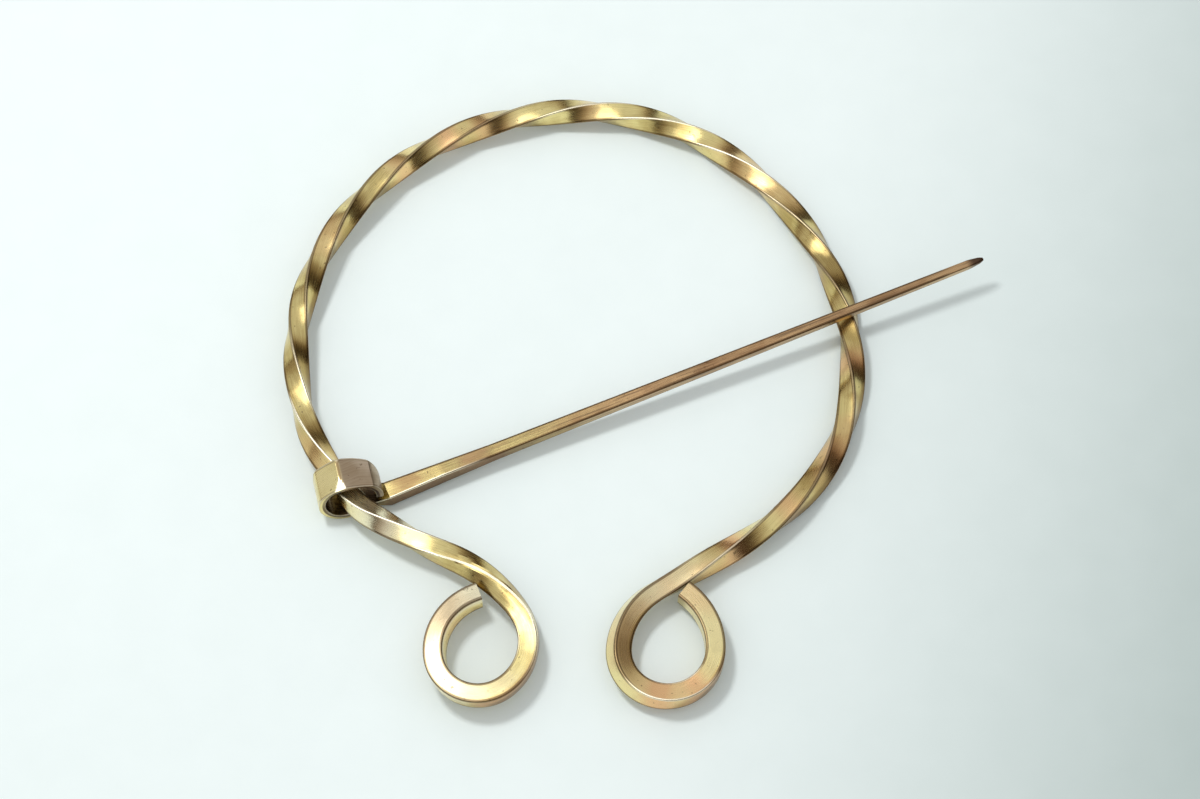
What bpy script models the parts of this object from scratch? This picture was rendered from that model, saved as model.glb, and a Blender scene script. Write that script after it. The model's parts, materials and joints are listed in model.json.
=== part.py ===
# Penannular brooch, handmade in brass.
# The hoop is one square wire, twisted to the left by hand, bent round into an open ring and curled
# outwards into a flat eye at each end. The pin is one forged piece: its end is hammered to a strip that
# is rolled loosely round the wire, so that the pin swings on the hoop and rests across its far side.
# Metres and degrees, +Z up. The hoop is first drawn in a level plane with its mean circle round the
# origin, +Y pointing to its far point and the gap at -Y. At the end the brooch is laid on the ground.

import math

import bpy
import bmesh
import numpy as np
from mathutils import Matrix, Vector
from mathutils.bvhtree import BVHTree

MM = 0.001

# Wire of the hoop
WIRE_SIDE = 1.60 * MM
ARRIS_FLAT = 0.16 * MM
STATION_STEP = 0.42 * MM
BEND_EASE = 1.5 * MM
TWIST_EASE = 4.0 * MM

# Ring, as stretches from its far point: degrees turned, and radius as a share of the hoop's
HOOP_RADIUS = 23.0 * MM
HOOP_RIGHT = ((37.1, 0.873), (28.5, 1.136), (31.4, 1.031), (41.6, 0.778))
HOOP_LEFT = ((29.9, 1.083), (31.7, 1.022), (34.0, 0.952), (3.1, 1.607), (16.45, 0.697))
FAR_POINT_TILT = 2.64

# Necks between the ring and the eyes: stretches of wire, and degrees turned over each, outwards positive
NECK_RIGHT = (6.73 * MM, 6.74 * MM)
NECK_RIGHT_TURNS = (-12.8, 0.0)
NECK_LEFT = (1.57 * MM, 3.75 * MM, 2.29 * MM, 7.51 * MM)
NECK_LEFT_TURNS = (4.7, 4.2, 20.5, 8.8)

# Curled eyes, from the neck to the cut end: stretches of wire, and degrees turned over each
CURL_RIGHT = (6.03 * MM, 6.03 * MM, 6.03 * MM, 6.04 * MM)
CURL_RIGHT_TURNS = (55.9, 92.4, 87.7, 57.1)
CURL_LEFT = (7.27 * MM, 7.28 * MM, 7.23 * MM, 7.18 * MM)
CURL_LEFT_TURNS = (31.6, 86.0, 120.3, 79.4)
END_GAP = 0.12 * MM

# Twist: where an arris is uppermost beside the far point, and the wire that each further quarter takes
ARRIS_UP = 0.86 * MM
QUARTERS_RIGHT = (7.65 * MM, 7.5 * MM, 8.65 * MM, 6.75 * MM, 8.0 * MM, 8.05 * MM, 9.85 * MM)
QUARTERS_LEFT = (7.3 * MM, 7.95 * MM, 7.8 * MM, 8.2 * MM, 7.15 * MM, 8.7 * MM, 8.4 * MM, 9.2 * MM)

# Roll left in the eyes: distances from the last full quarter, and degrees past it
ROLL_RIGHT_AT = (6.9 * MM, 14.3 * MM, 17.4 * MM, 20.0 * MM, 22.5 * MM)
ROLL_RIGHT = (64.0, 75.0, 64.0, 52.0, 45.0)
ROLL_LEFT_AT = (8.0 * MM, 14.5 * MM, 20.7 * MM, 26.4 * MM)
ROLL_LEFT = (45.0, 49.0, 62.0, 49.0)

# Head of the pin: the strip that is rolled round the wire, turned and leaning a little from the shank's line
HEAD_PAST_HOOP = 4.35 * MM
PIN_AZIMUTH = 22.7
HEAD_TURN = -9.0
HEAD_LEAN = 11.0
STRIP_WIDTH = 2.70 * MM
STRIP_THICK = 0.60 * MM
STRIP_FLARE = 2.2 * MM
STRIP_ROUNDNESS = 0.1
BORE_PLAY = 0.42 * MM
BORE_SLACK = 1.10 * MM
BORE_SHIFT = 0.345 * MM
TONGUE_END_WIDTH = 1.3 * MM
TONGUE_ROUNDING = 3.0 * MM
TONGUE_GAP = 0.12 * MM
TONGUE_LOWEST = 0.95

# Shank of the pin, which runs beside the middle of the head
SHANK_ASIDE = -1.30 * MM
SHANK_HEIGHT = 1.60 * MM
SHANK_ROOT_WIDTH = 1.75 * MM
SHANK_ROOT_ROUNDNESS = 0.1
ROOT_TUCK = 0.155 * MM
ROOT_BLEND = 0.9 * MM
SHANK_NECK_WIDTH = 1.25 * MM
SHANK_NECK_HEIGHT = 1.52 * MM
SHANK_NECK_ROUNDNESS = 0.25
SHANK_NECK_AT = 8.0 * MM
SHANK_SLIM_AT = 12.5 * MM
SHANK_SLIM_SIDE = 1.12 * MM
SHANK_TIP_SIDE = 0.66 * MM
POINT_LENGTH = 1.3 * MM
POINT_DIAMETER = 0.16 * MM
POINT_BULGE = 0.72
POINT_BULGE_AT = 0.4
POINT_ROUNDNESS = 0.7
PIN_OVERHANG = 12.3 * MM
REST_GAP = 0.30 * MM

# Section of the pin: its points, and how far a slab's corners may reach past a round of the same width
PIN_SIDES = 12
CORNER_REACH = 1.30

BRASS = (0.60, 0.44, 0.17)
COPPERY_BRASS = (0.42, 0.25, 0.12)


def cumulative(start, steps):
    """Running places and sums for a list of (length, amount) stretches."""
    places, sums = [0.0], [start]
    for length, amount in steps:
        places.append(places[-1] + length)
        sums.append(sums[-1] + amount)
    return places, sums


def both_sides(left, right):
    """One rising table of places and values from the tables of the left and the right side."""
    places = [-p for p in reversed(left[0][1:])] + list(right[0])
    values = list(reversed(left[1][1:])) + list(right[1])
    return places, values


def eased(table, place, window):
    """Value at a place along the wire, averaged over a window so that corners run smoothly."""
    offsets = np.linspace(-0.5, 0.5, 9) * window
    return float(np.mean(np.interp(place + offsets, table[0], table[1])))


def heading_table():
    """Direction of the wire in the plane, in degrees, along its length from the far point."""
    ring_right = [(math.radians(turn) * share * HOOP_RADIUS, -turn) for turn, share in HOOP_RIGHT]
    ring_left = [(math.radians(turn) * share * HOOP_RADIUS, turn) for turn, share in HOOP_LEFT]
    right = ring_right + list(zip(NECK_RIGHT, NECK_RIGHT_TURNS)) + list(zip(CURL_RIGHT, CURL_RIGHT_TURNS))
    left = ring_left + list(zip(NECK_LEFT, NECK_LEFT_TURNS))
    left += [(length, -turn) for length, turn in zip(CURL_LEFT, CURL_LEFT_TURNS)]
    return both_sides(cumulative(FAR_POINT_TILT, left), cumulative(FAR_POINT_TILT, right))


def roll_table():
    """Angle of one arris from straight up, outwards positive, along the wire's length."""
    right = cumulative(0.0, [(length, 90.0) for length in QUARTERS_RIGHT])
    left = cumulative(0.0, [(length, -90.0) for length in QUARTERS_LEFT])
    for distance, angle in zip(ROLL_RIGHT_AT, ROLL_RIGHT):
        right[0].append(sum(QUARTERS_RIGHT) + distance)
        right[1].append(90.0 * len(QUARTERS_RIGHT) + angle)
    for distance, angle in zip(ROLL_LEFT_AT, ROLL_LEFT):
        left[0].append(sum(QUARTERS_LEFT) + distance)
        left[1].append(-90.0 * len(QUARTERS_LEFT) - angle)
    places, values = both_sides(left, right)
    return [place + ARRIS_UP for place in places], values


def hoop_arc_length(stretches):
    """Length of the ring's wire on one side of its far point."""
    return sum(math.radians(turn) * share * HOOP_RADIUS for turn, share in stretches)


def half_width(roll):
    """How far the square wire reaches to its side or upwards when an arris leans by this roll."""
    lean = math.radians((roll + 45.0) % 90.0 - 45.0)
    diagonal = WIRE_SIDE / math.sqrt(2.0) - ARRIS_FLAT / 2.0
    return min(diagonal, WIRE_SIDE / math.sqrt(2.0) * math.cos(lean))


def walk_side(sign, headings, rolls, length):
    """Stations (place, x, y, heading, roll) along one side of the hoop, from its far point."""
    count = max(2, round(length / STATION_STEP))
    fine = 4
    step = length / (count * fine)
    x = y = 0.0
    stations = []
    for index in range(count * fine + 1):
        place = sign * index * step
        if index % fine == 0:
            heading = math.radians(eased(headings, place, BEND_EASE))
            stations.append((place, x, y, heading, eased(rolls, place, TWIST_EASE)))
        middle = math.radians(eased(headings, place + sign * step / 2.0, BEND_EASE))
        x += sign * math.cos(middle) * step
        y += sign * math.sin(middle) * step
    return stations


def gap_to_neck(stations, last):
    """Space between the cut end at one station and the neck of the same side."""
    place, x, y, heading, _ = stations[last]
    side = WIRE_SIDE / 2.0
    corners = [(x - sign * side * math.sin(heading), y + sign * side * math.cos(heading)) for sign in (-1, 1)]
    reach = abs(place)
    gaps = []
    for other, ox, oy, _, roll in stations:
        if abs(other) < reach - 4.0 * WIRE_SIDE:
            nearest = min(math.hypot(cx - ox, cy - oy) for cx, cy in corners)
            gaps.append(nearest - half_width(roll + 90.0))
    return min(gaps)


def cut_where_it_meets(stations):
    """Leave off the end of a curl that would run into its own neck."""
    last = len(stations) * 3 // 4
    while last < len(stations) - 1 and gap_to_neck(stations, last + 1) > END_GAP:
        last += 1
    return stations[:last + 1]


def wire_stations():
    """The whole wire from the left end to the right end, with the far point in its middle."""
    headings, rolls = heading_table(), roll_table()
    right = cut_where_it_meets(walk_side(1.0, headings, rolls, headings[0][-1]))
    left = cut_where_it_meets(walk_side(-1.0, headings, rolls, -headings[0][0]))
    ring = [s for s in left[1:] + right if -hoop_arc_length(HOOP_LEFT) < s[0] < hoop_arc_length(HOOP_RIGHT)]
    middle_x = (min(s[1] for s in ring) + max(s[1] for s in ring)) / 2.0
    far_y = max(s[2] for s in ring)
    return [(p, x - middle_x, y - far_y + HOOP_RADIUS, heading, roll)
            for p, x, y, heading, roll in list(reversed(left[1:])) + right]


def station_at(stations, place):
    """Position, heading and roll at a place between two stations."""
    places = [s[0] for s in stations]
    return [float(np.interp(place, places, [s[k] for s in stations])) for k in (1, 2, 3, 4)]


def loft(name, rings, material):
    """One closed solid through equal rings of points, with both ends capped."""
    mesh = bpy.data.meshes.new(name)
    bm = bmesh.new()
    loops = [[bm.verts.new(point) for point in ring] for ring in rings]
    count = len(rings[0])
    for near, far in zip(loops, loops[1:]):
        for k in range(count):
            m = (k + 1) % count
            bm.faces.new((near[k], near[m], far[m], far[k]))
    bm.faces.new(list(reversed(loops[0])))
    bm.faces.new(loops[-1])
    bmesh.ops.recalc_face_normals(bm, faces=bm.faces)
    bm.to_mesh(mesh)
    bm.free()
    mesh.materials.append(material)
    piece = bpy.data.objects.new(name, mesh)
    bpy.context.collection.objects.link(piece)
    return piece


def square_ring(x, y, heading, roll):
    """Section of the square wire with a small flat along each arris, at one station."""
    outward = Vector((-math.sin(heading), math.cos(heading), 0.0))
    up = Vector((0.0, 0.0, 1.0))
    centre = Vector((x, y, 0.0))
    half = WIRE_SIDE / 2.0
    flat_leg = half - ARRIS_FLAT / math.sqrt(2.0)
    corner = math.hypot(half, flat_leg)
    lean = math.degrees(math.atan2(half, flat_leg)) - 45.0
    ring = []
    for quarter in range(4):
        for side in (-lean, lean):
            angle = math.radians(roll + 90.0 * quarter + side)
            ring.append(centre + corner * (math.cos(angle) * up + math.sin(angle) * outward))
    return ring


def make_hoop(stations, material):
    """The twisted wire with its two eyes, as one solid."""
    return loft("hoop", [square_ring(*s[1:]) for s in stations], material)


def slab_ring(centre, along, across, width, thick, roundness):
    """Section of the pin across its run: from a slab with softened edges to a round."""
    normal = across.cross(along).normalized()
    ring = []
    for k in range(PIN_SIDES):
        angle = 2.0 * math.pi * (k + 0.5) / PIN_SIDES
        c, s = math.cos(angle), math.sin(angle)
        square = max(abs(c), abs(s))
        stretch = roundness + (1.0 - roundness) * min(1.0 / square, CORNER_REACH)
        ring.append(centre + across * (c * stretch * width / 2.0) + normal * (s * stretch * thick / 2.0))
    return ring


def arc_points(centre, radius, start, stop, count):
    """Points on an arc in the pin's upright plane, from start to stop in degrees."""
    angles = np.linspace(math.radians(start), math.radians(stop), count)
    return [Vector((centre[0] + radius * math.cos(a), 0.0, centre[1] + radius * math.sin(a))) for a in angles]


def pin_shape():
    """Heights that the head and the shank share, in the pin's own frame round the wire's centre line."""
    bore = WIRE_SIDE / math.sqrt(2.0) + BORE_PLAY
    strip_line = bore + STRIP_THICK / 2.0
    floor = -bore - STRIP_THICK
    return bore, strip_line, floor


def head_run():
    """Middle line of the rolled strip from the shank's root, under, round and over the wire."""
    bore, line, floor = pin_shape()
    left = BORE_SHIFT - BORE_SLACK / 2.0
    right = BORE_SHIFT + BORE_SLACK / 2.0
    under = [Vector((x, 0.0, -line)) for x in np.linspace(right + bore - ROOT_TUCK, left, 6)]
    round_back = arc_points((left, 0.0), line, -90.0, -270.0, 13)[1:]
    over = [Vector((x, 0.0, line)) for x in np.linspace(left, right, 4)][1:]
    shank_top = floor + SHANK_HEIGHT + TONGUE_GAP
    drop = math.degrees(math.asin(min(max(-shank_top / line, 0.0), TONGUE_LOWEST)))
    down = arc_points((right, 0.0), line, 90.0, -drop, 11)[1:]
    return under + round_back + over + down


def strip_rings():
    """Rings of the rolled strip: flaring from the shank, leaning over as it winds, rounded at the tongue."""
    run = head_run()
    lengths = [0.0]
    for near, far in zip(run, run[1:]):
        lengths.append(lengths[-1] + (far - near).length)
    turn = Matrix.Rotation(math.radians(HEAD_TURN), 3, "Z")
    across = turn @ Vector((0.0, 1.0, 0.0))
    lean = math.tan(math.radians(HEAD_LEAN))
    rings = []
    for k, (point, length) in enumerate(zip(run, lengths)):
        spread = min(1.0, length / STRIP_FLARE)
        rounded = max(0.0, 1.0 - (lengths[-1] - length) / TONGUE_ROUNDING)
        narrow = 1.0 - math.sqrt(1.0 - rounded * rounded)
        width = SHANK_ROOT_WIDTH + (STRIP_WIDTH - SHANK_ROOT_WIDTH) * spread
        width -= (STRIP_WIDTH - TONGUE_END_WIDTH) * narrow
        near, far = run[max(0, k - 1)], run[min(len(run) - 1, k + 1)]
        along = turn @ (far - near).normalized()
        centre = turn @ point + across * (point.z * lean)
        rings.append(slab_ring(centre, along, across, width, STRIP_THICK, STRIP_ROUNDNESS))
    return rings


def shank_section(distance, length):
    """Width, height and roundness of the shank at a distance from the wire's centre line."""
    bulge_at = length - POINT_LENGTH * POINT_BULGE_AT
    bulge = SHANK_TIP_SIDE * POINT_BULGE
    knots = [0.0, SHANK_NECK_AT, SHANK_SLIM_AT, length - POINT_LENGTH, bulge_at, length]
    widths = [SHANK_ROOT_WIDTH, SHANK_NECK_WIDTH, SHANK_SLIM_SIDE, SHANK_TIP_SIDE, bulge, POINT_DIAMETER]
    heights = [SHANK_HEIGHT, SHANK_NECK_HEIGHT, SHANK_SLIM_SIDE, SHANK_TIP_SIDE, bulge, POINT_DIAMETER]
    corner = SHANK_NECK_ROUNDNESS
    rounds = [SHANK_ROOT_ROUNDNESS, corner, corner, corner, POINT_ROUNDNESS, 1.0]
    return [float(np.interp(distance, knots, values)) for values in (widths, heights, rounds)]


def pin_rings(length):
    """Rings of the pin from its point to the end of the tongue."""
    _, _, floor = pin_shape()
    root = head_run()[0].x + ROOT_BLEND
    distances = [length - share * POINT_LENGTH for share in (0.0, 0.15, POINT_BULGE_AT, 0.7)]
    distances += list(np.linspace(length - POINT_LENGTH, SHANK_SLIM_AT, 13))
    distances += list(np.linspace(SHANK_SLIM_AT, SHANK_NECK_AT, 5))[1:]
    distances += list(np.linspace(SHANK_NECK_AT, root, 5))[1:]
    toward_head, across = Vector((-1.0, 0.0, 0.0)), Vector((0.0, 1.0, 0.0))
    rings = []
    for distance in distances:
        width, height, roundness = shank_section(distance, length)
        centre = Vector((distance, SHANK_ASIDE, floor + SHANK_HEIGHT / 2.0))
        rings.append(slab_ring(centre, toward_head, across, width, height, roundness))
    return rings + strip_rings()


def pin_placing(stations):
    """Where the pin turns on the wire, how far it reaches, and how steeply it rises to lie on the hoop."""
    head_place = -hoop_arc_length(HOOP_LEFT) - HEAD_PAST_HOOP
    x, y, _, _ = station_at(stations, head_place)
    hinge = Vector((x, y, 0.0))
    azimuth = math.radians(PIN_AZIMUTH)
    direction = Vector((math.cos(azimuth), math.sin(azimuth), 0.0))
    start = hinge + SHANK_ASIDE * Vector((-math.sin(azimuth), math.cos(azimuth), 0.0))
    crossing = None
    for near, far in zip(stations, stations[1:]):
        sides = [direction.cross(Vector((s[1], s[2], 0.0)) - start).z for s in (near, far)]
        if near[0] > 0.0 and sides[0] > 0.0 >= sides[1]:
            crossing = near
            break
    reach = (Vector((crossing[1], crossing[2], 0.0)) - start).dot(direction)
    length = reach + PIN_OVERHANG
    _, _, floor = pin_shape()
    under = floor + SHANK_HEIGHT / 2.0 - shank_section(reach, length)[1] / 2.0
    rise = half_width(crossing[4]) + REST_GAP - under
    pitch = math.asin(rise / reach)
    return hinge, azimuth, length, pitch


def make_pin(stations, material):
    """The forged pin, with its object's origin on the wire's centre line and local X along the shank."""
    hinge, azimuth, length, pitch = pin_placing(stations)
    pin = loft("pin", pin_rings(length), material)
    turn = Matrix.Rotation(azimuth, 4, "Z") @ Matrix.Rotation(-pitch, 4, "Y")
    pin.matrix_world = Matrix.Translation(hinge) @ turn
    return pin


def lay_on_ground(pieces):
    """Turn the brooch onto the three points that it rests on, and centre its box over the origin."""
    points, centre, weight = [], Vector(), 0.0
    for piece in pieces:
        for vertex in piece.data.vertices:
            points.append(piece.matrix_world @ vertex.co)
        for face in piece.data.polygons:
            centre += piece.matrix_world @ face.center * face.area
            weight += face.area
    centre /= weight
    bm = bmesh.new()
    for point in points:
        bm.verts.new(point)
    bmesh.ops.convex_hull(bm, input=bm.verts)
    bm.normal_update()
    _, normal, _, _ = BVHTree.FromBMesh(bm).ray_cast(centre - Vector((0.0, 0.0, 1.0)), Vector((0.0, 0.0, 1.0)))
    bm.free()
    if normal.z > 0.0:
        normal = -normal
    turn = normal.rotation_difference(Vector((0.0, 0.0, -1.0))).to_matrix().to_4x4()
    turned = [turn @ point for point in points]
    low = Vector([min(p[k] for p in turned) for k in range(3)])
    high = Vector([max(p[k] for p in turned) for k in range(3)])
    move = Matrix.Translation((-(low.x + high.x) / 2.0, -(low.y + high.y) / 2.0, -low.z))
    for piece in pieces:
        piece.matrix_world = move @ turn @ piece.matrix_world


def metal(name, colour, roughness):
    """A plain metal in one colour."""
    material = bpy.data.materials.new(name)
    material.use_nodes = True
    shader = material.node_tree.nodes["Principled BSDF"]
    shader.inputs["Base Color"].default_value = (*colour, 1.0)
    shader.inputs["Metallic"].default_value = 1.0
    shader.inputs["Roughness"].default_value = roughness
    return material


def build():
    """Model both pieces and lay the brooch down."""
    for item in list(bpy.data.objects):
        bpy.data.objects.remove(item, do_unlink=True)
    stations = wire_stations()
    hoop = make_hoop(stations, metal("brass", BRASS, 0.3))
    pin = make_pin(stations, metal("coppery_brass", COPPERY_BRASS, 0.35))
    bpy.context.view_layer.update()
    lay_on_ground([hoop, pin])
    bpy.context.view_layer.update()


build()
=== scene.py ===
"""Looks of a handmade brass brooch: a twisted open ring with curled eyes, and a forged pin on it."""
import json
import math

import bmesh
import bpy
import numpy as np
from mathutils import Matrix, Vector


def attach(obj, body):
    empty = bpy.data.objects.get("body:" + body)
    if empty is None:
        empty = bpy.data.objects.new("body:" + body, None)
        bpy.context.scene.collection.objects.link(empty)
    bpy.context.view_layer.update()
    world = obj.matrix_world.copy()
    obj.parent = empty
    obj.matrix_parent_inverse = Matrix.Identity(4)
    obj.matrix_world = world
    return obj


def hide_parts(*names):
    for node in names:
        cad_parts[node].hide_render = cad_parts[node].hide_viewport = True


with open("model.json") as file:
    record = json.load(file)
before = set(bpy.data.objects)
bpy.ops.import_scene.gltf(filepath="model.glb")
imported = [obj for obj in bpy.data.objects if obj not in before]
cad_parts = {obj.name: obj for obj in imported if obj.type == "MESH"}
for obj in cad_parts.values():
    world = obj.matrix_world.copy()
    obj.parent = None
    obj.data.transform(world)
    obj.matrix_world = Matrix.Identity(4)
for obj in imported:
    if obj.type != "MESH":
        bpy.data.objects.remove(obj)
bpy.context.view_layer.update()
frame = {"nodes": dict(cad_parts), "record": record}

MM = 0.001

# The camera looks down on the lying brooch from its open side, as one photographs a thing on a table.
# Its height, turn and distance are those at which the brooch has the proportions of the real one.
CAMERA_TARGET = Vector((-2.92, -0.12, 0.0)) * MM
CAMERA_DISTANCE = 260.0 * MM
CAMERA_ELEVATION = math.radians(64.24)
CAMERA_AZIMUTH = math.radians(0.12)
CAMERA_ROLL = math.radians(0.27)
CAMERA_LENS = 93.64

forward = Vector((
    math.cos(CAMERA_ELEVATION) * math.sin(CAMERA_AZIMUTH),
    math.cos(CAMERA_ELEVATION) * math.cos(CAMERA_AZIMUTH),
    -math.sin(CAMERA_ELEVATION),
))
level = Vector((math.cos(CAMERA_AZIMUTH), -math.sin(CAMERA_AZIMUTH), 0.0))
upward = level.cross(forward)
right = level * math.cos(CAMERA_ROLL) + upward * math.sin(CAMERA_ROLL)
top = upward * math.cos(CAMERA_ROLL) - level * math.sin(CAMERA_ROLL)
bpy.ops.object.camera_add(location=CAMERA_TARGET - forward * CAMERA_DISTANCE)
camera = bpy.context.object
camera.rotation_euler = Matrix((right, top, -forward)).transposed().to_euler()
camera.data.sensor_width = 36.0
camera.data.lens = CAMERA_LENS
camera.data.clip_start = 0.01
bpy.context.scene.camera = camera

# Paper: one smooth sheet of cool white with a faint tooth and faint mottling, with painted shade that
# greys it towards its near right corner, where the light falls off. It is the floor and no part of the
# brooch.
PAPER_SIZE = 1.2
PAPER_WHITE = (0.84, 0.92, 0.91)
PAPER_PAINTED_SHADE = (0.43, 0.51, 0.49)
PAPER_PAINTED_SHADE_SIDE = (0.96, -0.28, 0.0)
PAPER_PAINTED_SHADE_FROM = 2.0 * MM
PAPER_PAINTED_SHADE_TO = 75.0 * MM
PAPER_TOOTH = 4500.0
PAPER_CLOUDS = 260.0
PAPER_CLOUDINESS = 0.10

bpy.ops.mesh.primitive_plane_add(size=PAPER_SIZE, location=(0.0, 0.0, 0.0))
paper = bpy.context.object
paper.name = "paper"
paper_finish = bpy.data.materials.new("paper")
paper_finish.use_nodes = True
paper_nodes = paper_finish.node_tree.nodes
paper_links = paper_finish.node_tree.links
paper_shader = paper_nodes["Principled BSDF"]
paper_shader.inputs["Roughness"].default_value = 0.85
paper_shader.inputs["Specular IOR Level"].default_value = 0.2
paper_place = paper_nodes.new("ShaderNodeTexCoord")
paper_toward_shade = paper_nodes.new("ShaderNodeVectorMath")
paper_toward_shade.operation = "DOT_PRODUCT"
paper_toward_shade.inputs[1].default_value = PAPER_PAINTED_SHADE_SIDE
# Painted shade: the paper's colour greys away from the lamp, towards its near right corner.
paper_painted_falloff = paper_nodes.new("ShaderNodeMapRange")
paper_painted_falloff.interpolation_type = "SMOOTHSTEP"
paper_painted_falloff.inputs["From Min"].default_value = PAPER_PAINTED_SHADE_FROM
paper_painted_falloff.inputs["From Max"].default_value = PAPER_PAINTED_SHADE_TO
paper_tone_and_shade = paper_nodes.new("ShaderNodeMix")
paper_tone_and_shade.data_type = "RGBA"
paper_tone_and_shade.inputs["A"].default_value = (*PAPER_WHITE, 1.0)
paper_tone_and_shade.inputs["B"].default_value = (*PAPER_PAINTED_SHADE, 1.0)
paper_clouds = paper_nodes.new("ShaderNodeTexNoise")
paper_clouds.inputs["Scale"].default_value = PAPER_CLOUDS
paper_clouds.inputs["Detail"].default_value = 6.0
paper_mottle_and_shade = paper_nodes.new("ShaderNodeMath")
paper_mottle_and_shade.operation = "MULTIPLY_ADD"
paper_mottle_and_shade.inputs[1].default_value = PAPER_CLOUDINESS
paper_fibres = paper_nodes.new("ShaderNodeTexNoise")
paper_fibres.inputs["Scale"].default_value = PAPER_TOOTH
paper_fibres.inputs["Detail"].default_value = 3.0
paper_bump = paper_nodes.new("ShaderNodeBump")
paper_bump.inputs["Strength"].default_value = 0.08
paper_bump.inputs["Distance"].default_value = 0.05 * MM
paper_links.new(paper_place.outputs["Object"], paper_toward_shade.inputs[0])
paper_links.new(paper_toward_shade.outputs["Value"], paper_painted_falloff.inputs["Value"])
paper_links.new(paper_place.outputs["Object"], paper_clouds.inputs["Vector"])
paper_links.new(paper_clouds.outputs["Fac"], paper_mottle_and_shade.inputs[0])
paper_links.new(paper_painted_falloff.outputs["Result"], paper_mottle_and_shade.inputs[2])
paper_links.new(paper_mottle_and_shade.outputs["Value"], paper_tone_and_shade.inputs["Factor"])
paper_links.new(paper_tone_and_shade.outputs["Result"], paper_shader.inputs["Base Color"])
paper_links.new(paper_place.outputs["Object"], paper_fibres.inputs["Vector"])
paper_links.new(paper_fibres.outputs["Fac"], paper_bump.inputs["Height"])
paper_links.new(paper_bump.outputs["Normal"], paper_shader.inputs["Normal"])
paper.data.materials.append(paper_finish)

# Light: a small lamp to the far left and a pale room light the paper, so the shadows are crisp and thin.
# The metal mirrors a window beside the lamp, the ceiling above, and a room that is darker low down.
LAMP_TURN = math.radians(148.0)
LAMP_HEIGHT = math.radians(66.0)
LAMP_DISTANCE = 0.25
LAMP_SIZE = 0.042
LAMP_BRIGHTNESS = 46.0
WINDOW_TURN = math.radians(161.0)
WINDOW_HEIGHT = math.radians(60.0)
WINDOW_DISTANCE = 0.20
WINDOW_SIZE = 0.095
WINDOW_BRIGHTNESS = 1.8
CEILING_TURN = math.radians(202.0)
CEILING_HEIGHT = math.radians(72.0)
CEILING_DISTANCE = 0.30
CEILING_SIZE = 0.24
CEILING_BRIGHTNESS = 1.45
ROOM_FILL = 0.88
ROOM_WHITE = (0.95, 0.98, 1.0)
ROOM_BROWN = (1.0, 0.74, 0.50)
ROOM_BRIGHT_SIDE = (-0.28, 0.10, 0.95)
ROOM_DARK_BELOW = 0.12
ROOM_BRIGHT_ABOVE = 0.72
ROOM_DARK = 0.06
ROOM_BRIGHT = 0.72


def soft_light(name, turn, height, distance, size, brightness):
    """A square lamp that faces the brooch from one direction, as bright as its surface should look."""
    place = Vector((
        math.cos(height) * math.cos(turn),
        math.cos(height) * math.sin(turn),
        math.sin(height),
    )) * distance
    bpy.ops.object.light_add(type="AREA", location=place)
    lamp = bpy.context.object
    lamp.name = name
    lamp.rotation_euler = (-place).to_track_quat("-Z", "Y").to_euler()
    lamp.data.size = size
    lamp.data.energy = brightness * math.pi * size * size
    return lamp


shadow_lamp = soft_light("lamp", LAMP_TURN, LAMP_HEIGHT, LAMP_DISTANCE, LAMP_SIZE, LAMP_BRIGHTNESS)
shadow_lamp.visible_glossy = False
window = soft_light("window", WINDOW_TURN, WINDOW_HEIGHT, WINDOW_DISTANCE, WINDOW_SIZE, WINDOW_BRIGHTNESS)
window.visible_diffuse = False
ceiling = soft_light(
    "ceiling", CEILING_TURN, CEILING_HEIGHT, CEILING_DISTANCE, CEILING_SIZE, CEILING_BRIGHTNESS
)
ceiling.visible_diffuse = False
world = bpy.data.worlds.new("room")
bpy.context.scene.world = world
world.use_nodes = True
room_nodes = world.node_tree.nodes
room_links = world.node_tree.links
room_direction = room_nodes.new("ShaderNodeTexCoord")
room_side = room_nodes.new("ShaderNodeVectorMath")
room_side.operation = "DOT_PRODUCT"
room_side.inputs[1].default_value = ROOM_BRIGHT_SIDE
room_height = room_nodes.new("ShaderNodeMapRange")
room_height.interpolation_type = "SMOOTHSTEP"
room_height.inputs["From Min"].default_value = ROOM_DARK_BELOW
room_height.inputs["From Max"].default_value = ROOM_BRIGHT_ABOVE
room_strength = room_nodes.new("ShaderNodeMapRange")
room_strength.inputs["To Min"].default_value = ROOM_DARK
room_strength.inputs["To Max"].default_value = ROOM_BRIGHT
room_tone = room_nodes.new("ShaderNodeMix")
room_tone.data_type = "RGBA"
room_tone.inputs["A"].default_value = (*ROOM_BROWN, 1.0)
room_tone.inputs["B"].default_value = (*ROOM_WHITE, 1.0)
room_backdrop = room_nodes["Background"]
room_fill = room_nodes.new("ShaderNodeBackground")
room_fill.inputs["Strength"].default_value = ROOM_FILL
room_path = room_nodes.new("ShaderNodeLightPath")
room_choice = room_nodes.new("ShaderNodeMixShader")
room_links.new(room_direction.outputs["Generated"], room_side.inputs[0])
room_links.new(room_side.outputs["Value"], room_height.inputs["Value"])
room_links.new(room_height.outputs["Result"], room_strength.inputs["Value"])
room_links.new(room_height.outputs["Result"], room_tone.inputs["Factor"])
room_links.new(room_strength.outputs["Result"], room_backdrop.inputs["Strength"])
room_links.new(room_tone.outputs["Result"], room_backdrop.inputs["Color"])
room_links.new(room_path.outputs["Is Diffuse Ray"], room_choice.inputs["Fac"])
room_links.new(room_backdrop.outputs["Background"], room_choice.inputs[1])
room_links.new(room_fill.outputs["Background"], room_choice.inputs[2])
room_links.new(room_choice.outputs["Shader"], room_nodes["World Output"].inputs["Surface"])
bpy.context.scene.view_settings.view_transform = "Standard"

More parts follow.
